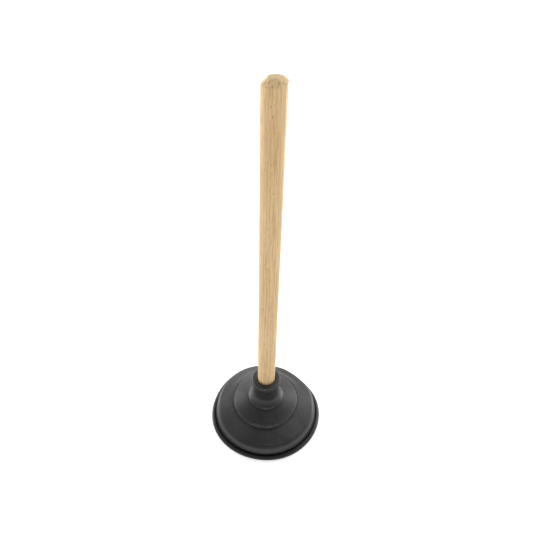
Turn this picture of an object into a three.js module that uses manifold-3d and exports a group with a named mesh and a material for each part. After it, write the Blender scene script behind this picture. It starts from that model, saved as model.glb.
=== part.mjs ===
// Toilet plunger: a one-piece black rubber force cup on a straight wooden handle.
// Millimetres, +Z up. The origin is the centre of the circle that the cup's rim stands on.
//
// The cup is one moulding that bends as it works, so it is split at its own creases into four
// rings, each of which moves as one. From the floor up they are the skirt, the shoulder, the
// neck flare and the neck socket. The handle is pushed into the socket and held by a screw that
// runs up through the socket's floor, with a wide washer to spread its load on the rubber.

import * as THREE from 'three';
import { mergeVertices } from 'three/addons/utils/BufferGeometryUtils.js';
import Module from 'manifold-3d';

// Gaps
const meetGap = 0.3; // between faces that touch on the real object
const turnClearance = 0.3; // radial, between the handle or screw and what it sits in

// Cup: the bead round the rim
const rimRadius = 75;
const lipHeight = 6;
const lipWidth = 5.4; // how far the bead stands out past the bell
const rimSeatWidth = 6.8; // flat ring that the cup stands on

// Cup: the bell
const wall = 5;
const creaseSink = 0.5; // how far the crease dips below the top of the bead
const creaseRound = 0.5; // how fast the bell's side leaves the crease
const bellDraft = 1.3; // how far the bell's side leans in up to the shoulder
const shoulderHeight = 12.8; // height at which the bell's side starts to round over
const shoulderRound = 6.8;
const leastInnerRound = 0.5;
const bellSlope = 18; // degrees above level
const stepRadius = 44.2;
const stepRise = 2.6;
const stepRound = 0.8;
const crownSlope = 23.6; // degrees above level
const ringRadius = 23.9;
const ringRise = 2;
const ringRound = 0.6;

// Cup: the neck
const neckLength = 35; // from the top of the base ring to the mouth of the socket
const socketWall = 4.9; // rubber round the bore at the waist
const waistRise = 11.3; // height of the waist above the top of the base ring
const waistTaper = 0.3; // growth in radius from the waist to the foot of the collar
const collarProud = 1.5; // how far the collar stands out past the waist
const collarSwell = 11.7; // distance below the mouth at which the neck starts to swell
const collarHeight = 5.2; // straight part of the collar and its rounded edge
const collarRound = 2.1;
const flareFoot = 1.8; // the flare's curve bends this far outside the waist
const flareLift = 3.4; // and this far above the base ring
const flareSplit = 4.7; // height of the flare ring above the neck's base ring
const socketSink = 2.7; // depth of the socket's floor below the top of the base ring
const webThickness = 4.5; // thickness of that floor

// Handle
const handleRadius = 11.1;
const handleLength = 408;
const topChamfer = 4;
const bottomChamfer = 1;

// Screw and washer
const screwRadius = 2.4;
const screwLength = 38;
const screwTip = 6;
const headRadius = 4.8;
const headHeight = 3.2;
const slotWidth = 1.2;
const slotDepth = 1.4;
const slotOverrun = 1; // how far the cut for the slot runs out past the head
const washerRadius = 12.5;
const washerThickness = 1.5;
const pilotSpare = 1.5; // empty length of hole past the screw's tip

// Facets
const cupSides = 56;
const handleSides = 40;
const screwSides = 20;
const washerSides = 40;
const beadSteps = 8;
const shoulderSteps = 5;
const innerSteps = 3;
const edgeSteps = 3;
const flareSteps = 5;
const mouthSteps = 4;
const domeSteps = 4;
const halvings = 40;
const mergeWithin = 1e-4;

// Levels and radii that follow from the sizes above
const rad = THREE.MathUtils.degToRad;
const bellTop = rimRadius - lipWidth;
const bellSide = bellTop - bellDraft;
const shoulderCentre = bellSide - shoulderRound;
const bellLineRadius = shoulderCentre + shoulderRound * Math.sin(rad(bellSlope));
const bellLineHeight = shoulderHeight + shoulderRound * Math.cos(rad(bellSlope));
const stepFoot = bellHeightAt(stepRadius);
const stepTop = stepFoot + stepRise;
const crownLineRadius = stepRadius - stepRound;
const ringFoot = crownHeightAt(ringRadius);
const ringTop = ringFoot + ringRise;
const ringEdgeEnd = 60; // degrees; the ring's rounded edge stops here and runs into the flare
const waistHeight = ringTop + waistRise;
const neckTop = ringTop + neckLength;
const collarFoot = neckTop - collarSwell;
const socketFloor = ringTop - socketSink;
const boreRadius = handleRadius + turnClearance;
const waistRadius = boreRadius + socketWall;
const collarRadius = waistRadius + collarProud;
const coreRadius = waistRadius + meetGap; // the stiff middle of the socket, inside the flare
const screwHoleRadius = screwRadius + turnClearance;
const webUnder = socketFloor - webThickness;
const coreHoleRadius = coreRadius + meetGap;
const flareTop = ringTop + flareSplit;
const washerUnder = webUnder - meetGap - washerThickness;
const headTop = washerUnder - meetGap;
const screwEnd = headTop + screwLength;
const handleFoot = socketFloor + meetGap;
const handleTop = handleFoot + handleLength;

const rubber = [0.045, 0.043, 0.044];
const wood = [0.68, 0.49, 0.28];
const steel = [0.6, 0.6, 0.61];

function at(radius, height) {
  return new THREE.Vector2(radius, height);
}

// Height of the bell's outer face, between the shoulder and the step
function bellHeightAt(radius) {
  return bellLineHeight + (bellLineRadius - radius) * Math.tan(rad(bellSlope));
}

// Height of the crown's outer face, between the step and the neck's base ring
function crownHeightAt(radius) {
  return stepTop + (crownLineRadius - radius) * Math.tan(rad(crownSlope));
}

// Height of the inner face, a wall's thickness below the two above
function bellUnderAt(radius) {
  return bellHeightAt(radius) - wall / Math.cos(rad(bellSlope));
}

function crownUnderAt(radius) {
  return crownHeightAt(radius) - wall / Math.cos(rad(crownSlope));
}

// Radius at which the crown's inner face reaches a height
function crownUnderRadiusAt(height) {
  const above = height + wall / Math.cos(rad(crownSlope)) - stepTop;
  return crownLineRadius - above / Math.tan(rad(crownSlope));
}

// Points along an arc in the profile plane, both ends included; angles in degrees
function arc(centre, radius, from, to, steps) {
  const points = [];
  for (let i = 0; i <= steps; i += 1) {
    const angle = rad(from + ((to - from) * i) / steps);
    points.push(at(centre.x + radius * Math.cos(angle), centre.y + radius * Math.sin(angle)));
  }
  return points;
}

// The flare's outer face, from the top of the base ring up to the waist
function flareCurve() {
  const foot = at(ringRadius - ringRound, ringTop);
  const bend = at(waistRadius + flareFoot, ringTop + flareLift);
  return new THREE.QuadraticBezierCurve(foot, bend, at(waistRadius, waistHeight));
}

// How far along the flare's curve it reaches a height, from 0 to 1, found by halving
function flareShareAt(height) {
  const curve = flareCurve();
  let low = 0;
  let high = 1;
  for (let i = 0; i < halvings; i += 1) {
    const middle = (low + high) / 2;
    if (curve.getPoint(middle).y < height) {
      low = middle;
    } else {
      high = middle;
    }
  }
  return low;
}

// Points of the flare's outer face between two heights, both ends included
function flarePoints(fromHeight, toHeight) {
  const curve = flareCurve();
  const start = flareShareAt(fromHeight);
  const end = flareShareAt(toHeight);
  const points = [];
  for (let i = 0; i <= flareSteps; i += 1) {
    points.push(curve.getPoint(start + ((end - start) * i) / flareSteps));
  }
  return points;
}

// A solid of revolution about Z. The profile runs up the outside and down the inside. Profiles
// that don't start and end on the axis are closed by repeating their first point.
function turned(profile, sides) {
  const points = profile[0].x === 0 ? profile : [...profile, profile[0].clone()];
  const geometry = new THREE.LatheGeometry(points, sides);
  geometry.rotateX(Math.PI / 2);
  return geometry;
}

function named(name, geometry, colour, roughness, metalness = 0) {
  const material = new THREE.MeshStandardMaterial({
    color: new THREE.Color(...colour),
    roughness,
    metalness,
  });
  const mesh = new THREE.Mesh(geometry, material);
  mesh.name = name;
  return mesh;
}

// Rim bead and lower bell, up to the level of the step's foot
function cupSkirt() {
  const beadRadius = lipHeight / 2;
  const bead = arc(at(rimRadius - beadRadius, beadRadius), beadRadius, -90, 90, beadSteps);
  const leanEnd = 90 - bellSlope;
  const shoulder = arc(at(shoulderCentre, shoulderHeight), shoulderRound, 0, leanEnd, shoulderSteps);
  const innerRound = Math.max(shoulderRound - wall, leastInnerRound);
  const innerCentre = at(bellSide - wall - innerRound, shoulderHeight);
  const innerShoulder = arc(innerCentre, innerRound, leanEnd, 0, innerSteps);
  const innerStep = stepRadius - wall * Math.cos(rad(bellSlope));
  return turned([
    ...bead,
    at(bellTop, lipHeight - creaseSink),
    at(bellTop - creaseRound, lipHeight + creaseRound),
    ...shoulder,
    at(stepRadius, stepFoot),
    at(crownUnderRadiusAt(stepFoot), stepFoot),
    at(innerStep - stepRound, crownUnderAt(innerStep - stepRound)),
    at(innerStep, bellUnderAt(innerStep)),
    ...innerShoulder,
    at(rimRadius - beadRadius - rimSeatWidth, 0),
  ], cupSides);
}

// Upper bell, from the step to the foot of the neck's base ring
function cupShoulder() {
  const bottom = stepFoot + meetGap;
  const side = stepRadius - meetGap;
  const edge = arc(at(side - stepRound, stepTop - stepRound), stepRound, 0, 90 - crownSlope, edgeSteps);
  return turned([
    at(side, bottom),
    ...edge,
    at(ringRadius, ringFoot),
    at(coreHoleRadius, ringFoot),
    at(coreHoleRadius, crownUnderAt(coreHoleRadius)),
    at(crownUnderRadiusAt(bottom), bottom),
  ], cupSides);
}

// Base ring and the lower, flatter stretch of the flare
function neckFlare() {
  const bottom = ringFoot + meetGap;
  const side = ringRadius - meetGap;
  const edge = arc(at(side - ringRound, ringTop - ringRound), ringRound, 0, ringEdgeEnd, edgeSteps);
  return turned([
    at(side, bottom),
    ...edge,
    ...flarePoints(ringTop, flareTop),
    at(coreHoleRadius, flareTop),
    at(coreHoleRadius, bottom),
  ], cupSides);
}

// Socket that grips the handle, with its floor, its waist and the collar round its mouth
function neckSocket() {
  const bottom = flareTop + meetGap;
  const mouth = arc(at(collarRadius - collarRound, neckTop - collarRound), collarRound, 0, 90, mouthSteps);
  return turned([
    at(screwHoleRadius, webUnder),
    at(coreRadius, webUnder),
    at(coreRadius, bottom),
    ...flarePoints(bottom, waistHeight),
    at(waistRadius + waistTaper, collarFoot),
    at(collarRadius, neckTop - collarHeight),
    ...mouth,
    at(boreRadius, neckTop),
    at(boreRadius, socketFloor),
    at(screwHoleRadius, socketFloor),
  ], cupSides);
}

// Straight dowel with broken edges and a pilot hole for the screw
function handle() {
  const holeEnd = screwEnd + pilotSpare;
  return turned([
    at(0, holeEnd),
    at(screwHoleRadius, holeEnd - screwTip),
    at(screwHoleRadius, handleFoot),
    at(handleRadius - bottomChamfer, handleFoot),
    at(handleRadius, handleFoot + bottomChamfer),
    at(handleRadius, handleTop - topChamfer),
    at(handleRadius - topChamfer, handleTop),
    at(0, handleTop),
  ], handleSides);
}

function fixingWasher() {
  return turned([
    at(washerRadius, washerUnder),
    at(washerRadius, washerUnder + washerThickness),
    at(screwHoleRadius, washerUnder + washerThickness),
    at(screwHoleRadius, washerUnder),
  ], washerSides);
}

// The library's solid for a closed three.js geometry
function solidOf(wasm, geometry) {
  const bare = geometry.clone();
  bare.deleteAttribute('normal');
  bare.deleteAttribute('uv');
  const merged = mergeVertices(bare, mergeWithin);
  return new wasm.Manifold(new wasm.Mesh({
    numProp: 3,
    vertProperties: new Float32Array(merged.attributes.position.array),
    triVerts: new Uint32Array(merged.index.array),
  }));
}

function geometryOf(solid) {
  const mesh = solid.getMesh();
  const geometry = new THREE.BufferGeometry();
  geometry.setAttribute('position', new THREE.BufferAttribute(mesh.vertProperties, 3));
  geometry.setIndex(new THREE.BufferAttribute(mesh.triVerts, 1));
  geometry.computeVertexNormals();
  return geometry;
}

// Round-head wood screw, head down, with a straight driving slot
function fixingScrew(wasm) {
  const head = [];
  for (let i = 0; i <= domeSteps; i += 1) {
    const angle = rad((90 * i) / domeSteps);
    head.push(at(headRadius * Math.sin(angle), headTop - headHeight * Math.cos(angle)));
  }
  const body = turned([
    ...head,
    at(screwRadius, headTop),
    at(screwRadius, screwEnd - screwTip),
    at(0, screwEnd),
  ], screwSides);
  const slot = new THREE.BoxGeometry(2 * (headRadius + slotOverrun), slotWidth, 2 * slotDepth);
  slot.translate(0, 0, headTop - headHeight);
  return geometryOf(solidOf(wasm, body).subtract(solidOf(wasm, slot)));
}

const wasm = await Module();
wasm.setup();

const plunger = new THREE.Group();
plunger.add(
  named('cup_skirt', cupSkirt(), rubber, 0.75),
  named('cup_shoulder', cupShoulder(), rubber, 0.75),
  named('neck_flare', neckFlare(), rubber, 0.75),
  named('neck_socket', neckSocket(), rubber, 0.75),
  named('handle', handle(), wood, 0.6),
  named('fixing_washer', fixingWasher(), steel, 0.35, 1),
  named('fixing_screw', fixingScrew(wasm), steel, 0.3, 1),
);

export default plunger;
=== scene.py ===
import math

import bpy
import numpy as np
from mathutils import Matrix, Vector, noise


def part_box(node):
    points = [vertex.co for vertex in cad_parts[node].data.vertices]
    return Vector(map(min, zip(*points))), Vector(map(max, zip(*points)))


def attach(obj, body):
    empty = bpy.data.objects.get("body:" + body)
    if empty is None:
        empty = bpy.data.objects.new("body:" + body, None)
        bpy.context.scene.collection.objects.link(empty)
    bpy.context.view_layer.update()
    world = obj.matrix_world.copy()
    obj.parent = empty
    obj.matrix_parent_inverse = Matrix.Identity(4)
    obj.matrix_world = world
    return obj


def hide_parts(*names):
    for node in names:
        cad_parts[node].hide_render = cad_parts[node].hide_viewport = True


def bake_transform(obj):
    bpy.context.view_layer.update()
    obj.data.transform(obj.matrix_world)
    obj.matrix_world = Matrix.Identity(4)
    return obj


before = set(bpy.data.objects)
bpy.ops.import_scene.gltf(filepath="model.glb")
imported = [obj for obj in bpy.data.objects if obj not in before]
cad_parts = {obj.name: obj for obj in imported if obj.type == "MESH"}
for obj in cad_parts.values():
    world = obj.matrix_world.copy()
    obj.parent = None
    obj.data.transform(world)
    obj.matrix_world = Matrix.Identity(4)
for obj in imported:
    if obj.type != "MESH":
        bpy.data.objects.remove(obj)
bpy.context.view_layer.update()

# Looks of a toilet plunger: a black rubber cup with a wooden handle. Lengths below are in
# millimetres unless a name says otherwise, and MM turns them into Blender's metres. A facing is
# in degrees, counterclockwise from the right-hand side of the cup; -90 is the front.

MM = 0.001


def extent(node):
    """A CAD node's lowest and highest corner, in millimetres."""
    low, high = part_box(node)
    return low / MM, high / MM


# Sizes and levels that come from the frame
GAP = 0.3  # what the CAD leaves between faces that touch on the real object
RIM_RADIUS = extent("cup_skirt")[1].x
STEP_FOOT = extent("cup_skirt")[1].z
STEP_RADIUS = extent("cup_shoulder")[1].x + GAP
RING_FOOT = extent("cup_shoulder")[1].z
RING_RADIUS = extent("neck_flare")[1].x + GAP
WEB_UNDER = extent("neck_socket")[0].z
MOUTH = extent("neck_socket")[1].z
COLLAR_RADIUS = extent("neck_socket")[1].x
HANDLE_FOOT = extent("handle")[0].z
HANDLE_TOP = extent("handle")[1].z
HANDLE_RADIUS = extent("handle")[1].x
WASHER_LOW, WASHER_HIGH = extent("fixing_washer")
SCREW_LOW, SCREW_HIGH = extent("fixing_screw")

# Rim bead and bell
WALL = 5
LIP_HEIGHT = 6
LIP_WIDTH = 5.4
SEAT_INSET = 1.9
SEAT_WIDTH = 7.4
SEAT_ROUND = 1.25
CREASE_DEPTH = 0.8
BELL_DRAFT = 1.3
SHOULDER_HEIGHT = 12.8
SHOULDER_ROUND = 6.8
BELL_SLOPE = math.radians(18)
BELL_SIDE = RIM_RADIUS - LIP_WIDTH - BELL_DRAFT
SHOULDER_CENTRE = BELL_SIDE - SHOULDER_ROUND

# Step and crown
STEP_RISE = 2.6
STEP_ROUND = 1.9
STEP_FILLET = 1.1  # how far out the hollow at the step's foot starts
CROWN_SLOPE = math.radians(23.6)
CROWN_EDGE = STEP_RADIUS - 0.8  # where the crown's slope meets the step's rise
CROWN_SWELL = 0.5  # how far the crown bulges past its straight slope
LEAN_SPACE = 1.3  # between the crown and the boss, for the neck to lean in

# Neck
RING_RISE = 2.0
RING_ROUND = 0.8
RING_DRAFT = 0.15
WAIST = RING_FOOT + RING_RISE + 11.3
WAIST_RADIUS = COLLAR_RADIUS - 1.5
COLLAR_HEIGHT = 5.6
COLLAR_ROUND = 2.1
COLLAR_SWELL = 11  # distance below the mouth at which the neck has begun to widen
SOCKET_FLOOR = WEB_UNDER + 4.5
BORE_RADIUS = HANDLE_RADIUS + 0.25
BOSS_RADIUS = WAIST_RADIUS + GAP
BOSS_ROUND = 1.2
CORE_RADIUS = 13.8
FLARE_INNER = 15.0
SCREW_HOLE = 2.7

# Mesh fineness
CUP_SIDES = 240
HANDLE_SIDES = 160
METAL_SIDES = 72
PROFILE_STEP = 1.3
SAME_POINT = 1e-3
SHARP_TURN = math.radians(38)


# ---------------------------------------------------------------- profiles

def arc(centre, radius, start, end, steps):
    """Points along a circle in the profile plane; angles in degrees from the outward direction."""
    angles = [math.radians(start + (end - start) * i / steps) for i in range(steps + 1)]
    return [(centre[0] + radius * math.cos(a), centre[1] + radius * math.sin(a)) for a in angles]


def curve(points, steps):
    """Points along the Bezier curve that has these control points."""
    out = []
    for i in range(steps + 1):
        rest = [Vector(p) for p in points]
        while len(rest) > 1:
            rest = [a.lerp(b, i / steps) for a, b in zip(rest, rest[1:])]
        out.append(tuple(rest[0]))
    return out


def dense(profile):
    """The closed profile without repeated points and with no long stretch between two points."""
    kept = [p for k, p in enumerate(profile) if math.dist(p, profile[k - 1]) > SAME_POINT]
    out = []
    for a, b in zip(kept, kept[1:] + kept[:1]):
        n = max(1, math.ceil(math.dist(a, b) / PROFILE_STEP))
        out += [(a[0] + (b[0] - a[0]) * k / n, a[1] + (b[1] - a[1]) * k / n) for k in range(n)]
    return out


def bell_line(radius):
    """Height of the bell's slope, which leaves the rounded shoulder tangentially."""
    start_radius = SHOULDER_CENTRE + SHOULDER_ROUND * math.sin(BELL_SLOPE)
    start_height = SHOULDER_HEIGHT + SHOULDER_ROUND * math.cos(BELL_SLOPE)
    return start_height + (start_radius - radius) * math.tan(BELL_SLOPE)


def crown_line(radius):
    """Height of the crown's slope."""
    return STEP_FOOT + STEP_RISE + (CROWN_EDGE - radius) * math.tan(CROWN_SLOPE)


def bell_under(radius):
    return bell_line(radius) - WALL / math.cos(BELL_SLOPE)


def crown_under(radius):
    return crown_line(radius) - WALL / math.cos(CROWN_SLOPE)


def at(line, radius):
    """The profile point of a slope at a radius."""
    return (radius, line(radius))


def step_inside():
    """Where the underside of the crown crosses the level of the step's foot."""
    return (CROWN_EDGE - (STEP_FOOT - crown_under(CROWN_EDGE)) / math.tan(CROWN_SLOPE), STEP_FOOT)


def skirt_profile():
    """Rim bead, crease and lower bell, up to the level of the step's foot."""
    bead = LIP_HEIGHT / 2
    bead_centre = RIM_RADIUS - bead
    seat_out = RIM_RADIUS - SEAT_INSET
    seat_in = seat_out - SEAT_WIDTH
    crease = (RIM_RADIUS - LIP_WIDTH + 0.1, LIP_HEIGHT - CREASE_DEPTH)
    side_foot = (RIM_RADIUS - LIP_WIDTH - 0.35, LIP_HEIGHT + 0.9)
    lean = 90 - math.degrees(BELL_SLOPE)
    slope_end = at(bell_line, STEP_RADIUS + STEP_FILLET)
    inner_step = STEP_RADIUS - WALL * math.cos(BELL_SLOPE)
    inner_top = at(crown_under, inner_step - 0.8)
    inner_foot = at(bell_under, inner_step + 0.4)
    inner_round = SHOULDER_ROUND - WALL
    return dense([
        *arc((seat_out, SEAT_ROUND), SEAT_ROUND, -90, -8, 6),
        (RIM_RADIUS - 0.75, 1.5),
        *arc((bead_centre, bead), bead, -24, 90, 18),
        *curve([(bead_centre, LIP_HEIGHT), (crease[0] + 1.0, LIP_HEIGHT), crease], 6),
        *curve([crease, (crease[0] - 0.35, crease[1] + 0.05), side_foot], 5),
        *arc((SHOULDER_CENTRE, SHOULDER_HEIGHT), SHOULDER_ROUND, 0, lean, 22),
        *curve([slope_end, (STEP_RADIUS + 0.35, bell_line(STEP_RADIUS) - 0.75),
                (STEP_RADIUS, STEP_FOOT)], 5),
        step_inside(),
        *curve([inner_top, (inner_step - 0.1, inner_top[1] - 0.5),
                (inner_step, inner_foot[1] + 0.6), inner_foot], 8),
        *arc((SHOULDER_CENTRE, SHOULDER_HEIGHT), inner_round, lean, 0, 8),
        (seat_in - 1.0, LIP_HEIGHT),
        *curve([(seat_in - 0.6, 0.9), (seat_in - 0.55, 0), (seat_in + 0.4, 0)], 5),
    ])


def crown_profile():
    """Riser of the step and the upper bell, up to the foot of the neck's base ring."""
    round_centre = (STEP_RADIUS - 0.15 - STEP_ROUND, STEP_FOOT + STEP_RISE - STEP_ROUND + 0.5)
    edge = arc(round_centre, STEP_ROUND, 8, 90 - math.degrees(CROWN_SLOPE), 10)
    middle = (edge[-1][0] + RING_RADIUS) / 2
    inner = BOSS_RADIUS + LEAN_SPACE
    return dense([
        (STEP_RADIUS, STEP_FOOT),
        *edge,
        *curve([edge[-1], (middle, crown_line(middle) + CROWN_SWELL),
                (RING_RADIUS + 0.6, RING_FOOT - 0.2), (RING_RADIUS, RING_FOOT)], 20),
        (inner, RING_FOOT),
        *curve([(inner, crown_under(inner) + 0.8), at(crown_under, inner),
                at(crown_under, inner + 1.0)], 5),
        step_inside(),
    ])


def flare_profile():
    """Base ring and the flare that runs up to the neck's waist."""
    top = RING_FOOT + RING_RISE
    round_centre = (RING_RADIUS - RING_DRAFT - RING_ROUND, top - RING_ROUND)
    edge = arc(round_centre, RING_ROUND, 0, 75, 6)
    return dense([
        (RING_RADIUS, RING_FOOT),
        *edge,
        *curve([edge[-1], (WAIST_RADIUS + 3.6, top + 2.0), (WAIST_RADIUS + 0.1, top + 5.6),
                (WAIST_RADIUS, WAIST - 1.2)], 24),
        (WAIST_RADIUS, WAIST),
        (FLARE_INNER, WAIST),
        (FLARE_INNER, RING_FOOT),
    ])


def socket_profile():
    """The neck from its waist to the mouth, the bore, and the boss that the screw passes through."""
    boss_centre = (BOSS_RADIUS - BOSS_ROUND, WEB_UNDER + BOSS_ROUND)
    collar_centre = (COLLAR_RADIUS - COLLAR_ROUND, MOUTH - COLLAR_ROUND)
    return dense([
        (SCREW_HOLE, WEB_UNDER),
        *arc(boss_centre, BOSS_ROUND, -90, 0, 6),
        (BOSS_RADIUS, SOCKET_FLOOR),
        (CORE_RADIUS, SOCKET_FLOOR),
        (CORE_RADIUS, WAIST),
        (WAIST_RADIUS, WAIST),
        *curve([(WAIST_RADIUS, WAIST + 1.2), (WAIST_RADIUS, WAIST + 9),
                (COLLAR_RADIUS - 0.9, MOUTH - COLLAR_SWELL),
                (COLLAR_RADIUS, MOUTH - COLLAR_HEIGHT)], 16),
        *arc(collar_centre, COLLAR_ROUND, 0, 82, 10),
        *curve([(BORE_RADIUS + 2.4, MOUTH - 0.15), (BORE_RADIUS, MOUTH - 0.25),
                (BORE_RADIUS, MOUTH - 1.7)], 7),
        (BORE_RADIUS, SOCKET_FLOOR),
        (SCREW_HOLE, SOCKET_FLOOR),
    ])


# ---------------------------------------------------------------- meshes

class Skin:
    """A surface made of rings of points round the axis, each joined to the one before."""

    def __init__(self, sides):
        self.angles = np.arange(sides) * 2 * math.pi / sides
        self.points = []
        self.rings = []

    def ring(self, points):
        start = len(self.points)
        self.points.extend(points)
        self.rings.append(list(range(start, start + len(self.angles))))

    def circle(self, radii, height):
        """A level ring. radii is one number, or one for each side."""
        radii = np.broadcast_to(radii, self.angles.shape)
        self.ring([(r * math.cos(a), r * math.sin(a), height) for r, a in zip(radii, self.angles)])

    def tip(self, height):
        """One point on the axis, which closes an end."""
        self.rings.append([len(self.points)] * len(self.angles))
        self.points.append((0, 0, height))

    def faces(self):
        out = []
        for low, high in zip(self.rings, self.rings[1:]):
            for i in range(len(low)):
                j = (i + 1) % len(low)
                out.append(list(dict.fromkeys([low[i], low[j], high[j], high[i]])))
        return out


def mesh_object(name, points, faces):
    """A smooth-shaded object from points in millimetres."""
    mesh = bpy.data.meshes.new(name)
    mesh.from_pydata((np.asarray(points, float) * MM).tolist(), [], faces)
    mesh.update()
    mesh.shade_smooth()
    obj = bpy.data.objects.new(name, mesh)
    bpy.context.scene.collection.objects.link(obj)
    return obj


def mark_sharp(obj, rings):
    """Edges that run round these rings of points stay crisp."""
    rings = [set(r) for r in rings]
    sharp = obj.data.attributes.new("sharp_edge", "BOOLEAN", "EDGE")
    flags = [any(e.vertices[0] in r and e.vertices[1] in r for r in rings) for e in obj.data.edges]
    sharp.data.foreach_set("value", flags)


def turned(name, profile, sides, settle=lambda points: points):
    """A ring-shaped solid from a closed profile that runs up the outside and down the inside.
    settle moves the points afterwards."""
    skin = Skin(sides)
    sharp = []
    for k, (radius, height) in enumerate(profile):
        skin.circle(radius, height)
        before, after = profile[k - 1], profile[(k + 1) % len(profile)]
        into = Vector((radius - before[0], height - before[1]))
        out = Vector((after[0] - radius, after[1] - height))
        if into.angle(out, 0) > SHARP_TURN:
            sharp.append(skin.rings[-1])
    skin.rings.append(skin.rings[0])
    obj = mesh_object(name, settle(np.array(skin.points, float)), skin.faces())
    mark_sharp(obj, sharp)
    return obj


def smooth(low, high, value):
    """0 at low and before, 1 at high and past it, with a smooth rise between."""
    t = np.clip((value - low) / (high - low), 0, 1)
    return t * t * (3 - 2 * t)


def bell_curve(distance, width):
    return np.exp(-(distance / width) ** 2)


def turn_to(angle, centre):
    """Signed degrees from a direction, from -180 to 180."""
    return (angle - centre + 180) % 360 - 180


def finished(obj, material, node):
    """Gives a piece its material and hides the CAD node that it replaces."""
    obj.data.materials.append(material)
    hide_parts(node)
    return obj


# ---------------------------------------------------------------- rubber cup

# Levels and radii between which each zone of the rubber fades in or out
BEAD_END = (5, 9)
BELL_FOOT = (5, 11)
BELL_TOP = (26, 37)
SHOULDER_ZONE = (48, 58)
STEP_INNER = (25, 41)
STEP_OUTER = (46, 56)
STEP_LEVEL = (16, 20)
RIM_LEVEL = (1, 5)
RIM_ZONE = (40, 60)

# Where the rubber is out of round: facing, spread in degrees, outward, upward
BEAD_SWELLS = [(0, 20, 0.6, 0), (40, 17, -2.0, 0), (161, 18, -1.1, 0), (208, 20, 0.7, 0),
               (260, 24, -1.0, 0), (335, 16, 0.3, 0)]
BELL_SWELLS = [(46, 18, -1.3, -0.7), (85, 30, -0.4, -0.4), (165, 20, -0.8, 0), (125, 22, 0.2, 0.2)]
STEP_SWELLS = [(95, 48, 1.6, 1.3), (-25, 34, -1.5, 0.2), (178, 26, -1.0, 0)]

# Ripples round the bell: height, how many, phase
RIPPLES = [(0.12, 4, 1.1), (0.08, 9, 3)]
RIM_RIPPLE, RIM_RIPPLES = 0.06, 7

# Shallow dimples on the front of the bell: x, y, depth, width
DIMPLES = [(-11, -59, 0.55, 3.2), (22, -56.5, 0.5, 3.4), (3, -63.5, -0.25, 1.6)]
DIMPLE_STRETCH = 1.5

# A narrow fold at the left of the step's foot, which drifts outward towards the back
FOLD_FACING, FOLD_SPREAD = -160, 20
FOLD_START, FOLD_END = -150, -185
FOLD_DRIFT = 1.6
FOLD_DEPTH, FOLD_WIDTH = 0.45, 0.8


def settled_rubber(points):
    """Where moulded rubber stands once it has been used: the bead and the bell are a little out of
    round, the step is higher at the back, and the front has two shallow dimples."""
    x, y, z = points.T
    radius, angle = np.hypot(x, y), np.degrees(np.arctan2(y, x))
    turn = np.radians(angle)
    bead = 1 - smooth(*BEAD_END, z)
    bell = smooth(*BELL_FOOT, z) * (1 - smooth(*BELL_TOP, z))
    shoulder = bell * smooth(*SHOULDER_ZONE, radius)
    step = smooth(*STEP_INNER, radius) * (1 - smooth(*STEP_OUTER, radius)) * smooth(*STEP_LEVEL, z)
    rim = smooth(*RIM_LEVEL, z) * smooth(*RIM_ZONE, radius)
    out = RIM_RIPPLE * np.sin(RIM_RIPPLES * turn) * rim
    up = bell * sum(height * np.sin(count * turn + phase) for height, count, phase in RIPPLES)
    for part, swells in ((bead, BEAD_SWELLS), (shoulder, BELL_SWELLS), (step, STEP_SWELLS)):
        for facing, spread, outward, upward in swells:
            share = part * bell_curve(turn_to(angle, facing), spread)
            out = out + share * outward
            up = up + share * upward
    for centre_x, centre_y, depth, width in DIMPLES:
        away = np.hypot((x - centre_x) / DIMPLE_STRETCH, y - centre_y)
        up = up - depth * bell * bell_curve(away, width)
    backward = np.where(angle > 0, angle - 360, angle)
    fold = STEP_RADIUS + FOLD_DRIFT * smooth(FOLD_START, FOLD_END, backward) + 0.5
    pinch = bell_curve(turn_to(angle, FOLD_FACING), FOLD_SPREAD) * bell_curve(radius - fold, FOLD_WIDTH)
    up = up - FOLD_DEPTH * pinch * bell
    return points + np.stack([out * np.cos(turn), out * np.sin(turn), up], axis=1)


def rubber_cup(finish):
    """The one-piece cup, in four pieces that share their edges; the neck piece goes with the handle."""
    pieces = {
        "rubber_skirt": (skirt_profile(), "cup_skirt"),
        "rubber_crown": (crown_profile(), "cup_shoulder"),
        "rubber_flare": (flare_profile(), "neck_flare"),
        "rubber_neck": (socket_profile(), "neck_socket"),
    }
    skirt, crown, flare, neck = [
        finished(turned(name, profile, CUP_SIDES, settled_rubber), finish, node)
        for name, (profile, node) in pieces.items()
    ]
    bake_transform(skirt)
    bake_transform(crown)
    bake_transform(flare)
    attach(neck, "handle_unit")


# ---------------------------------------------------------------- handle

# Worn, hand-broken top edge of the handle. Each cut is a flat: its facing, how far from the axis
# it starts, and how steeply it falls, in degrees.
CUTS = [(0, 7.2, 34), (42, 9.6, 46), (88, 9.2, 46), (135, 8.0, 46), (178, 4.9, 43), (222, 6.0, 51),
        (268, 6.7, 54), (314, 7.4, 50)]
CUT_SOFTNESS = 0.6
CUT_BLEND = 5

HOLE_SPARE = 1.5  # empty length of the pilot hole past the screw
HOLE_TAPER = 6
FOOT_CHAMFER = 1
RING_SPACING = 3.2  # along the shaft
SHAFT_END = 8  # distance of the shaft's full length below the top, to space its rings
FINE_FROM, FINE_RINGS = 0.985, 18  # share of the shaft from which its rings lie close
TOP_RINGS = 43

TAPER = 0.012  # share of the radius gained up to the top
OVAL, OVAL_TWIST = 0.004, 55
WAVE, WAVE_LENGTH, WAVE_PHASE = 0.003, 23, 2
TORN_FADE = (-9, -3)  # from the top
TEARS = [(0.35, 1.6, 1, 0.22), (1, 0.7, 2, 0.1)]  # scale along the grain, size, seed, depth
TEAR_INSET = 0.12
TEAR_RISE = 1.5
TEAR_DROP = 0.15


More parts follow.
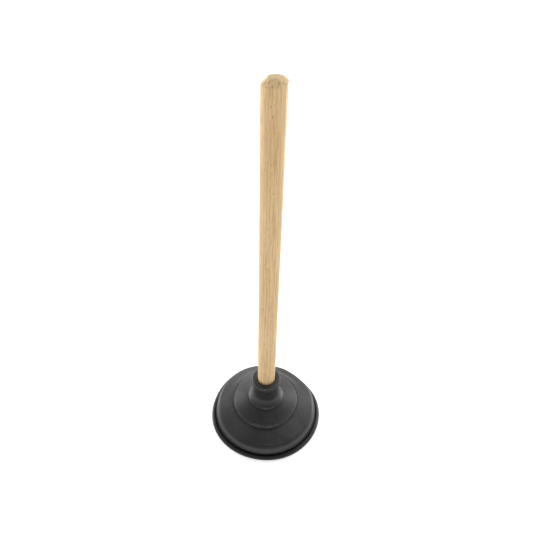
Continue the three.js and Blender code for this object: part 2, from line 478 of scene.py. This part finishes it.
def handle_top(x, y):
    """Height of the handle's end above a point of its plan."""
    total = np.zeros_like(x)
    for facing, start, fall in CUTS:
        a = math.radians(facing)
        past = x * math.cos(a) + y * math.sin(a) - start
        past = CUT_SOFTNESS * np.logaddexp(0, past / CUT_SOFTNESS)
        total += (past * math.tan(math.radians(fall))) ** CUT_BLEND
    return HANDLE_TOP - total ** (1 / CUT_BLEND)


def ragged(points, size, seed):
    """Smooth noise from -1 to 1 at each point, with features of about this size."""
    shift = Vector((seed * 17.3, seed * 5.1, seed * 9.7))
    return np.array([noise.noise(Vector(p) + shift) for p in points / size])


def worn_wood(points):
    """The dowel's small unevenness: a faint taper and waviness along it, and torn fibres on top."""
    x, y, z = points.T
    radius, turn = np.hypot(x, y), np.arctan2(y, x)
    on_side = radius > HANDLE_RADIUS - 0.5
    share = np.clip((z - MOUTH) / (HANDLE_TOP - MOUTH), 0, 1)
    wave = OVAL * np.sin(2 * turn + z / OVAL_TWIST) + WAVE * np.sin(z / WAVE_LENGTH + WAVE_PHASE)
    grow = np.where(on_side & (z > MOUTH), TAPER * share + wave * np.clip(share * 12, 0, 1), 0)
    torn = smooth(*TORN_FADE, z - HANDLE_TOP)
    rough = sum(depth * ragged(points * [1, 1, stretch], size, seed)
                for stretch, size, seed, depth in TEARS)
    inward = torn * on_side * (rough - TEAR_INSET)
    moved = points * np.stack([1 + grow, 1 + grow, np.ones_like(grow)], axis=1)
    moved[:, 0] += inward * np.cos(turn)
    moved[:, 1] += inward * np.sin(turn)
    moved[:, 2] += torn * (TEAR_RISE * rough * (radius > 0) - TEAR_DROP)
    return moved


def wooden_handle(finish):
    """A straight dowel, slightly out of round, with a pilot hole below and a worn end on top."""
    hole_end = SCREW_HIGH.z + HOLE_SPARE
    side_foot = HANDLE_FOOT + FOOT_CHAMFER
    skin = Skin(HANDLE_SIDES)
    skin.tip(hole_end)
    skin.circle(SCREW_HOLE, hole_end - HOLE_TAPER)
    skin.circle(SCREW_HOLE, HANDLE_FOOT)
    skin.circle(HANDLE_RADIUS - FOOT_CHAMFER, HANDLE_FOOT)
    edge_x, edge_y = HANDLE_RADIUS * np.cos(skin.angles), HANDLE_RADIUS * np.sin(skin.angles)
    edge = handle_top(edge_x, edge_y)
    spacing = RING_SPACING / (HANDLE_TOP - SHAFT_END - side_foot)
    for share in [*np.arange(0, FINE_FROM, spacing), *np.linspace(FINE_FROM, 1, FINE_RINGS)]:
        skin.ring(list(zip(edge_x, edge_y, side_foot + (edge - side_foot) * share)))
    for share in np.linspace(1, 0, TOP_RINGS + 1)[1:-1]:
        x, y = edge_x * share, edge_y * share
        skin.ring(list(zip(x, y, handle_top(x, y))))
    skin.tip(HANDLE_TOP)
    obj = mesh_object("wooden_handle", worn_wood(np.array(skin.points, float)), skin.faces())
    mark_sharp(obj, skin.rings[1:5])
    finished(obj, finish, "handle")
    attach(obj, "handle_unit")


# ---------------------------------------------------------------- screw and washer

SCREW_RADIUS = 2.4
SCREW_TIP = 6.0
SCREW_TIP_WIDTH = 0.06  # of the full width, just before the point
HEAD_RADIUS = SCREW_HIGH.x
HEAD_HEIGHT = 3.2
HEAD_TOP = SCREW_LOW.z + HEAD_HEIGHT
HEAD_STEPS = 14
HEAD_CHAMFER = 0.15
SHANK_LENGTH = 11
THREAD_START = HEAD_TOP + SHANK_LENGTH
THREAD_PITCH = 2.5
THREAD_DEPTH = 0.75
THREAD_STEEPNESS = 3.4
THREAD_STEPS = 10
SLOT_WIDTH = 1.2
SLOT_DEPTH = 1.4
WASHER_ROUND = 0.45
WASHER_CHAMFER = 0.12
HOLE_CHAMFER_WIDTH, HOLE_CHAMFER_HEIGHT = 0.25, 0.3


def fixing_screw(finish):
    """A round-head wood screw, head down, with a straight slot and a real helical thread."""
    skin = Skin(METAL_SIDES)
    skin.tip(SCREW_LOW.z)
    for i in range(1, HEAD_STEPS + 1):
        a = math.radians(90 * i / HEAD_STEPS)
        skin.circle(HEAD_RADIUS * math.sin(a), HEAD_TOP - HEAD_HEIGHT * math.cos(a))
    skin.circle(HEAD_RADIUS - HEAD_CHAMFER, HEAD_TOP)
    skin.circle(SCREW_RADIUS, HEAD_TOP)
    sharp = skin.rings[-2:]
    skin.circle(SCREW_RADIUS, THREAD_START)
    rows = int((SCREW_HIGH.z - THREAD_START) / (THREAD_PITCH / THREAD_STEPS))
    for z in np.linspace(THREAD_START, SCREW_HIGH.z, rows + 1)[1:-1]:
        phase = (z / THREAD_PITCH - skin.angles / (2 * math.pi)) % 1
        crest = np.clip(1 - np.abs(phase - 0.5) * THREAD_STEEPNESS, 0, 1)
        depth = THREAD_DEPTH * np.clip((z - THREAD_START) / THREAD_PITCH, 0, 1)
        point = np.clip((SCREW_HIGH.z - z) / SCREW_TIP, 0, 1)
        width = SCREW_TIP_WIDTH + (1 - SCREW_TIP_WIDTH) * point
        skin.circle((SCREW_RADIUS - depth + crest * depth) * width, z)
    skin.tip(SCREW_HIGH.z)
    obj = mesh_object("fixing_screw_threaded", skin.points, skin.faces())
    mark_sharp(obj, sharp)
    cut_slot(obj)
    finished(obj, finish, "fixing_screw")
    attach(obj, "handle_unit")


def cut_slot(obj):
    """Cuts the driving slot out of the head with a box."""
    x, y, z = HEAD_RADIUS + 1, SLOT_WIDTH / 2, SLOT_DEPTH
    signs = [(i, j, k) for i in (-1, 1) for j in (-1, 1) for k in (-1, 1)]
    corners = [(i * x, j * y, SCREW_LOW.z + k * z) for i, j, k in signs]
    sides = [(0, 1, 3, 2), (4, 6, 7, 5), (0, 4, 5, 1), (2, 3, 7, 6), (0, 2, 6, 4), (1, 5, 7, 3)]
    cutter = mesh_object("slot_cutter", corners, sides)
    cut = obj.modifiers.new("slot", "BOOLEAN")
    cut.operation, cut.solver, cut.object = "DIFFERENCE", "EXACT", cutter
    graph = bpy.context.evaluated_depsgraph_get()
    mesh = bpy.data.meshes.new_from_object(obj.evaluated_get(graph))
    obj.modifiers.clear()
    obj.data = mesh
    bpy.data.objects.remove(cutter)


def fixing_washer(finish):
    """A wide stamped washer, rounded on the punch side and crisp on the other."""
    low, high = WASHER_LOW.z, WASHER_HIGH.z
    outer = WASHER_HIGH.x
    profile = [
        (SCREW_HOLE + HOLE_CHAMFER_WIDTH, low),
        (outer - WASHER_ROUND, low),
        *arc((outer - WASHER_ROUND, low + WASHER_ROUND), WASHER_ROUND, -90, 0, 5),
        (outer, high - WASHER_CHAMFER),
        (outer - WASHER_CHAMFER, high),
        (SCREW_HOLE, high),
        (SCREW_HOLE, low + HOLE_CHAMFER_HEIGHT),
    ]
    obj = turned("stamped_washer", dense(profile), METAL_SIDES * 2)
    finished(obj, finish, "fixing_washer")
    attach(obj, "handle_unit")


# ---------------------------------------------------------------- materials

class Surface:
    """A material whose pattern is built by short calls. Arguments may be numbers or sockets.
    Positions are the object's own, in millimetres."""

    def __init__(self, name):
        self.material = bpy.data.materials.new(name)
        self.material.use_nodes = True
        self.tree = self.material.node_tree
        self.shader = self.tree.nodes["Principled BSDF"]
        coordinates = self.tree.nodes.new("ShaderNodeTexCoord")
        self.place = self.vector("MULTIPLY", coordinates.outputs["Object"], (1 / MM,) * 3)

    def connect(self, value, socket):
        if isinstance(value, bpy.types.NodeSocket):
            self.tree.links.new(value, socket)
        else:
            socket.default_value = value

    def set(self, **inputs):
        """Sets or links the shader's inputs; an underscore in a name stands for a space."""
        for name, value in inputs.items():
            self.connect(value, self.shader.inputs[name.replace("_", " ")])

    def vector(self, operation, a, b):
        node = self.tree.nodes.new("ShaderNodeVectorMath")
        node.operation = operation
        self.connect(a, node.inputs[0])
        self.connect(b, node.inputs[1])
        return node.outputs["Value" if operation in ("LENGTH", "DISTANCE") else "Vector"]

    def math(self, operation, a, b=0.0):
        node = self.tree.nodes.new("ShaderNodeMath")
        node.operation = operation
        self.connect(a, node.inputs[0])
        self.connect(b, node.inputs[1])
        return node.outputs[0]

    def add(self, first, *others):
        for other in others:
            first = self.math("ADD", first, other)
        return first

    def times(self, first, *others):
        for other in others:
            first = self.math("MULTIPLY", first, other)
        return first

    def parts(self, vector):
        node = self.tree.nodes.new("ShaderNodeSeparateXYZ")
        self.connect(vector, node.inputs[0])
        return node.outputs

    def joined(self, x, y, z=0.0):
        node = self.tree.nodes.new("ShaderNodeCombineXYZ")
        for value, socket in zip((x, y, z), node.inputs):
            self.connect(value, socket)
        return node.outputs[0]

    def length(self, x, y):
        return self.vector("LENGTH", self.joined(x, y), (0, 0, 0))

    def noise(self, place, per_mm, detail=3.0, roughness=0.5):
        """Noise from 0 to 1, with this many features to a millimetre in each direction."""
        scaled = self.vector("MULTIPLY", place, per_mm if isinstance(per_mm, tuple) else (per_mm,) * 3)
        node = self.tree.nodes.new("ShaderNodeTexNoise")
        self.connect(scaled, node.inputs["Vector"])
        node.inputs["Scale"].default_value = 1.0
        node.inputs["Detail"].default_value = detail
        node.inputs["Roughness"].default_value = roughness
        return node.outputs["Fac"]

    def span(self, value, low, high, start=0.0, end=1.0):
        """value taken from low..high to start..end, smoothly, and held at the ends."""
        node = self.tree.nodes.new("ShaderNodeMapRange")
        node.interpolation_type = "SMOOTHSTEP"
        for v, socket in zip((value, low, high, start, end), node.inputs[:5]):
            self.connect(v, socket)
        return node.outputs[0]

    def band(self, value, low, high, edge):
        """1 between low and high, fading out over edge on both sides."""
        return self.times(self.span(value, low - edge, low), self.span(value, high, high + edge, 1.0, 0.0))

    def near(self, distance, width):
        """1 where distance is 0, falling to 0 at width on both sides."""
        return self.span(self.math("ABSOLUTE", distance), 0.0, width, 1.0, 0.0)

    def from_spot(self, a, b, spot):
        """Distance from a spot, in its own half widths. spot is its place and its two half widths."""
        at_a, at_b, half_a, half_b = spot
        along_a = self.math("DIVIDE", self.math("SUBTRACT", a, at_a), half_a)
        along_b = self.math("DIVIDE", self.math("SUBTRACT", b, at_b), half_b)
        return self.length(along_a, along_b)

    def mix(self, share, a, b):
        node = self.tree.nodes.new("ShaderNodeMix")
        node.data_type = "RGBA"
        self.connect(share, node.inputs["Factor"])
        for value, socket in ((a, node.inputs[6]), (b, node.inputs[7])):
            self.connect((*value, 1.0) if isinstance(value, tuple) else value, socket)
        return node.outputs[2]

    def bump(self, height, depth_mm):
        """Bumps of this depth where height goes from 0 to 1."""
        node = self.tree.nodes.new("ShaderNodeBump")
        node.inputs["Strength"].default_value = 1.0
        node.inputs["Distance"].default_value = depth_mm * MM
        self.connect(height, node.inputs["Height"])
        self.set(Normal=node.outputs[0])


BLACK_RUBBER, GREY_RUBBER = (0.012, 0.0115, 0.0115), (0.020, 0.019, 0.019)
# The second colour on the next line is the painted highlight on the front of the rounded edges.
# The third colour on the next line is painted shade, for the creases, the bead's front and the step's
# fold.
DUST, HIGHLIGHT_GREY, SHADE_BLACK = (0.052, 0.048, 0.044), (0.092, 0.091, 0.089), (0.004, 0.004, 0.004)
MOUTH_BROWN = (0.070, 0.040, 0.022)

# Painted highlights on the front of the rounded edges: lowest and highest level, inner radius, strength
EDGE_HIGHLIGHTS = [(26.6, 28.9, 40.5, 0.65), (37.5, 39.0, 21.5, 0.6), (MOUTH - 2.2, MOUTH - 0.4, 15.6, 0.3)]
# Painted shade in the creases: lowest and highest level, inner and outer radius
SHADED_CREASES = [(25.0, 26.0, 42.0, 47.5), (36.3, 37.1, 22.6, 25.5), (5.0, 6.6, 66.5, 71.2)]
# Painted light and shade on the front of the bell, darker in the two dimples, light marks on the small
# ridge between them, and broad lighter patches that lift the front: x, y, half width, half depth, shade,
# strength
BELL_LIGHT_AND_SHADE = [(-11, -59.5, 3.2, 1.3, 0.006, 0.7), (22, -56.5, 4.2, 1.2, 0.006, 0.6),
           (0.6, -63.2, 1.8, 0.7, 0.07, 0.6), (5.4, -62.4, 2.4, 0.6, 0.07, 0.6),
           (-32, -44, 20.0, 15.0, 0.034, 0.7), (32, -42, 22.0, 17.0, 0.036, 0.8),
           (0, -52, 14.0, 6.0, 0.026, 0.6)]


def rubber_finish():
    """Matte black moulded rubber with a little dust and fine turning marks, painted highlights on the
    front of the rounded edges, painted shade in the creases, on the bead's front and along the step's
    fold, and painted light and shade on the front of the bell.
    """
    s = Surface("black_rubber")
    x, y, z = s.parts(s.place)
    radius = s.length(x, y)
    facing = s.math("DIVIDE", y, radius)
    mottle = s.noise(s.place, 0.5, 5.0, 0.65)
    grain = s.noise(s.place, 3.2, 3.0, 0.6)
    turning = s.noise(s.joined(s.times(radius, 1.6), s.times(z, 1.6)), 1.0, 2.0)
    dust = s.times(s.span(s.noise(s.place, 0.045, 4.0, 0.6), 0.42, 0.68), s.span(mottle, 0.35, 0.7))

    base = s.mix(s.span(mottle, 0.3, 0.75), BLACK_RUBBER, GREY_RUBBER)
    base = s.mix(s.times(dust, 0.5), base, DUST)
    # Painted highlight: a patchy lighter colour on the rounded edges of the step, the base ring and the
    # collar, only on the front.
    front_highlight = s.span(s.noise(s.place, 0.22, 4.0, 0.7), 0.40, 0.62, 0.35, 1.0)
    front_highlight = s.times(front_highlight, s.span(facing, -0.80, -0.96, 0.15, 1.0))
    for low, high, inner, share in EDGE_HIGHLIGHTS:
        there = s.times(s.band(z, low, high, 0.5), s.span(radius, inner, inner + 0.5), front_highlight)
        base = s.mix(s.times(there, share), base, HIGHLIGHT_GREY)
    # Painted shade in the creases at the step's foot, at the ring's foot and between the bead and the
    # bell.
    for low, high, inner, outer in SHADED_CREASES:
        there = s.times(s.band(z, low, high, 0.4), s.band(radius, inner, outer, 0.6))
        base = s.mix(s.times(there, 0.85), base, SHADE_BLACK)
    # Painted shade on the front of the bead, just below the crease.
    bead_front_shade = s.times(s.span(z, 6.3, 5.7), s.span(facing, -0.4, -0.85))
    base = s.mix(s.times(bead_front_shade, 0.8), base, SHADE_BLACK)
    # Painted shade along the fold at the left of the step.
    base = s.mix(s.times(step_fold_shade(s, x, y, z, radius), 0.8), base, SHADE_BLACK)
    # Painted shade in the dimples and painted light on the front of the bell, with light marks on the
    # ridge.
    for *spot, shade, share in BELL_LIGHT_AND_SHADE:
        there = s.span(s.from_spot(x, y, spot), 0.3, 1.2, share, 0.0)
        base = s.mix(s.times(there, s.span(z, 12, 15)), base, (shade,) * 3)
    # Browner on the top of the mouth, next to the handle.
    mouth = s.span(radius, BORE_RADIUS + 0.3, BORE_RADIUS + 1.8, 0.6, 0.0)
    base = s.mix(s.times(mouth, s.span(z, MOUTH - 3, MOUTH - 1)), base, MOUTH_BROWN)

    rough = s.add(s.span(mottle, 0.3, 0.7, 0.36, 0.47), s.times(dust, 0.16))
    s.set(Base_Color=base, Roughness=rough, Specular_IOR_Level=0.5)
    s.bump(s.add(s.times(grain, 0.5), s.times(mottle, 0.9), s.times(turning, 0.35)), 0.11)
    return s.material


def step_fold_shade(s, x, y, z, radius):
    """Painted shade along the fold that leaves the step's foot at the left and drifts outward on the bell.
    """
    line = s.add(s.span(y, -32, -4, 0.0, 1.9), STEP_RADIUS + 0.35)
    there = s.near(s.math("SUBTRACT", radius, line), 0.75)
    return s.times(there, s.band(y, -31, -5, 3.0), s.span(x, -27, -31), s.span(z, 12, 15))


PALE_WOOD, TAN_WOOD = (0.745, 0.525, 0.270), (0.66, 0.445, 0.215)
END_GRAIN, END_PORE = (1.0, 0.74, 0.40), (0.44, 0.26, 0.10)
FLECK = (0.17, 0.085, 0.04)

# Small dark marks in the wood: x, height below the handle's top, half width, half length
FLECKS = [(-2.4, 20, 0.5, 1.6), (-0.7, 28, 0.35, 1.4), (-3.8, 67, 0.3, 2.2), (1.2, 67, 0.3, 1.8),
          (-0.2, 77, 0.35, 1.8), (1.6, 96, 0.3, 1.5), (-1.8, 182, 0.45, 3.0), (-2.3, 194, 0.4, 2.2),
          (3.5, 145, 0.25, 2.0), (-5.5, 240, 0.3, 2.2), (2.0, 262, 0.25, 1.8)]
# Dark pits on the worn end: x, y, radius, colour
PITS = [(-4.3, -7.6, 1.5, (0.30, 0.13, 0.05)), (3.4, -9.0, 1.3, (0.30, 0.13, 0.05)),
        (7.0, -7.2, 1.4, (0.24, 0.14, 0.05)), (1.2, 8.6, 1.1, (0.14, 0.09, 0.04)),
        (-1.6, -10.4, 1.0, (0.28, 0.12, 0.05)), (9.3, -1.6, 1.5, (0.42, 0.14, 0.07)),
        (0.6, -6.4, 0.8, (0.36, 0.19, 0.08)), (-7.4, -5.4, 1.0, (0.34, 0.17, 0.07))]


def growth_rings(s, x, y):
    """0 in the pale early wood and 1 in the dark late wood of rings round an off-centre pith."""
    sway = s.times(s.math("SUBTRACT", s.noise(s.place, (0.02, 0.02, 0.006), 2.0), 0.5), 9.0)
    from_pith = s.length(s.add(x, 21.0, sway), s.math("SUBTRACT", y, 9.0))
    wander = s.noise(s.place, (0.35, 0.35, 0.012), 3.0)
    ring = s.math("SINE", s.add(s.times(from_pith, 2.4), s.times(wander, 5.0)))
    return s.span(ring, 0.1, 1.0)


def worn_end(s, z):
    """1 on the faces of the handle's broken end."""
    geometry = s.tree.nodes.new("ShaderNodeNewGeometry")
    up = s.parts(geometry.outputs["Normal"])[2]
    return s.times(s.span(up, 0.35, 0.75), s.span(z, HANDLE_TOP - 12, HANDLE_TOP - 9))


def wood_finish():
    """Bare pale hardwood: growth rings cut lengthwise, long brown streaks, short pores, end grain."""
    s = Surface("bare_hardwood")
    x, y, z = s.parts(s.place)
    streaks = s.noise(s.place, (0.8, 0.8, 0.028), 5.0, 0.62)
    fibres = s.noise(s.place, (3.4, 3.4, 0.06), 4.0, 0.7)
    pores = s.noise(s.place, (5.5, 5.5, 0.22), 2.0, 0.5)
    broad = s.noise(s.place, (0.07, 0.07, 0.009), 3.0)
    layers = [
        (growth_rings(s, x, y), 0.30, (0.45, 0.27, 0.12)),
        (s.span(streaks, 0.50, 0.70), 0.7, (0.36, 0.21, 0.09)),
        (s.span(streaks, 0.46, 0.28), 0.40, (0.76, 0.57, 0.34)),
        (s.span(fibres, 0.50, 0.72), 0.45, (0.36, 0.22, 0.10)),
        (s.span(pores, 0.60, 0.70), 0.65, (0.20, 0.11, 0.055)),
    ]
    colour = s.mix(s.span(broad, 0.35, 0.65), PALE_WOOD, TAN_WOOD)
    for there, share, shade in layers:
        colour = s.mix(s.times(there, share), colour, shade)

    end = worn_end(s, z)
    end_pores = s.span(s.noise(s.place, (2.6, 2.6, 0.6), 3.0, 0.7), 0.52, 0.66)
    end_colour = s.mix(s.times(end_pores, 0.65), END_GRAIN, END_PORE)
    colour = s.mix(s.times(end, 0.9), colour, end_colour)
    front = s.span(y, -2.0, -4.0)
    for at_x, below, half_width, half_length in FLECKS:
        away = s.from_spot(x, z, (at_x, HANDLE_TOP - below, half_width, half_length))
        colour = s.mix(s.times(s.span(away, 0.35, 1.25, 1.0, 0.0), front, 0.6), colour, FLECK)
    plan = s.joined(x, y)
    for at_x, at_y, size, dark in PITS:
        away = s.vector("DISTANCE", plan, (at_x, at_y, 0.0))
        colour = s.mix(s.times(s.span(away, size * 0.2, size, 0.6, 0.0), end), colour, dark)

    s.set(Base_Color=colour, Roughness=s.span(streaks, 0.3, 0.7, 0.52, 0.68))
    hollows = s.add(s.times(s.span(pores, 0.6, 0.72), -0.7), s.times(end, end_pores, -0.8))
    s.bump(s.add(s.times(fibres, 0.6), hollows), 0.10)
    return s.material


def steel_finish():
    """Zinc-plated steel: soft reflections, faint round polishing marks and dull patches."""
    s = Surface("plated_steel")
    x, y, z = s.parts(s.place)
    lines = s.noise(s.joined(s.times(s.length(x, y), 6.0), 0.0, z), 1.0, 3.0)
    patches = s.noise(s.place, 0.35, 4.0, 0.6)
    colour = s.mix(s.span(patches, 0.48, 0.68), (0.62, 0.62, 0.63), (0.46, 0.44, 0.41))
    s.set(Base_Color=colour, Metallic=1.0, Roughness=s.span(patches, 0.3, 0.7, 0.26, 0.48))
    s.bump(s.add(lines, s.times(patches, 0.5)), 0.02)
    return s.material


# ---------------------------------------------------------------- studio

FLOOR_SIZE = 40000
FLOOR_DROP = 0.2  # below the rim
FLOOR_GLOW = 0.63

# Square lights: name, place and size in metres, power in watts
SOFTBOXES = [
    ("right_softbox", (1.25, 0.8, 0.36), 0.6, 9),
    ("high_softbox", (0.66, 1.06, 1.42), 0.6, 7),
    ("left_softbox", (-1.25, 0.8, 0.36), 0.6, 9),
    ("back_softbox", (-0.4, 1.9, 0.6), 1.2, 7),
]
AIM = Vector((0, 0, 0.1))

# Brightness of the surroundings along an axis: from, to, brightness at each
SKY_FADES = {"Z": (0.05, 0.62, 1.75, 0.62), "Y": (-0.7, 0.6, 0.52, 0.92)}

CAMERA_PLACE = Vector((-5, -347.6, 525.3)) * MM
CAMERA_PITCH = math.radians(37.57)
CAMERA_YAW = math.radians(-0.32)
CAMERA_ROLL = math.radians(1.28)
SENSOR, LENS = 36, 28.3


def floor():
    """A plain pale floor, just under the rim, lit a little from below like a light table."""
    signs = [(-1, -1), (1, -1), (1, 1), (-1, 1)]
    corners = [(i * FLOOR_SIZE, j * FLOOR_SIZE, -FLOOR_DROP) for i, j in signs]
    obj = mesh_object("floor", corners, [(0, 1, 2, 3)])
    s = Surface("pale_floor")
    tint = s.mix(s.noise(s.place, 0.004, 2.0), (0.90,) * 3, (0.93,) * 3)
    s.set(Base_Color=tint, Roughness=0.9, Specular_IOR_Level=0.1)
    s.set(Emission_Color=(1.0,) * 4, Emission_Strength=FLOOR_GLOW)
    obj.data.materials.append(s.material)


def softbox(name, place, size, power):
    """A square light that faces the foot of the handle."""
    light = bpy.data.lights.new(name, "AREA")
    light.shape, light.size, light.energy = "SQUARE", size, power
    obj = bpy.data.objects.new(name, light)
    obj.location = place
    obj.rotation_euler = (AIM - Vector(place)).to_track_quat("-Z", "Y").to_euler()
    bpy.context.scene.collection.objects.link(obj)


def sky():
    """Bright low down, darker overhead and in front, and plain white where the camera sees it."""
    world = bpy.data.worlds.new("studio")
    bpy.context.scene.world = world
    world.use_nodes = True
    tree = world.node_tree
    background = tree.nodes["Background"]
    coordinates = tree.nodes.new("ShaderNodeTexCoord")
    split = tree.nodes.new("ShaderNodeSeparateXYZ")
    tree.links.new(coordinates.outputs["Generated"], split.inputs[0])
    product = tree.nodes.new("ShaderNodeMath")
    product.operation = "MULTIPLY"
    for (axis, limits), factor in zip(SKY_FADES.items(), product.inputs):
        fade = tree.nodes.new("ShaderNodeMapRange")
        fade.interpolation_type = "SMOOTHSTEP"
        for value, socket in zip(limits, fade.inputs[1:5]):
            socket.default_value = value
        tree.links.new(split.outputs[axis], fade.inputs["Value"])
        tree.links.new(fade.outputs["Result"], factor)
    seen = tree.nodes.new("ShaderNodeLightPath")
    choose = tree.nodes.new("ShaderNodeMix")
    tree.links.new(seen.outputs["Is Camera Ray"], choose.inputs["Factor"])
    tree.links.new(product.outputs[0], choose.inputs["A"])
    choose.inputs["B"].default_value = 1.0
    tree.links.new(choose.outputs["Result"], background.inputs["Strength"])
    background.inputs["Color"].default_value = (1.0,) * 4


def studio_light():
    """Soft light from both sides, a little behind the plunger, and from the back and above."""
    for box in SOFTBOXES:
        softbox(*box)
    sky()
    bpy.context.scene.view_settings.view_transform = "Standard"


def camera():
    """A camera above the front of the cup, looking down past the handle, slightly rolled."""
    turn = Matrix.Rotation(CAMERA_YAW, 3, "Z")
    forward = turn @ Vector((0, math.cos(CAMERA_PITCH), -math.sin(CAMERA_PITCH)))
    right = turn @ Vector((1, 0, 0))
    upward = turn @ Vector((0, math.sin(CAMERA_PITCH), math.cos(CAMERA_PITCH)))
    tilt = Matrix.Rotation(-CAMERA_ROLL, 3, forward)
    matrix = Matrix((tilt @ right, tilt @ upward, -forward)).transposed().to_4x4()
    matrix.translation = CAMERA_PLACE
    data = bpy.data.cameras.new("camera")
    data.sensor_width, data.lens = SENSOR, LENS
    obj = bpy.data.objects.new("camera", data)
    obj.matrix_world = matrix
    bpy.context.scene.collection.objects.link(obj)
    bpy.context.scene.camera = obj


camera()
rubber_cup(rubber_finish())
wooden_handle(wood_finish())
steel = steel_finish()
fixing_washer(steel)
fixing_screw(steel)
floor()
studio_light()
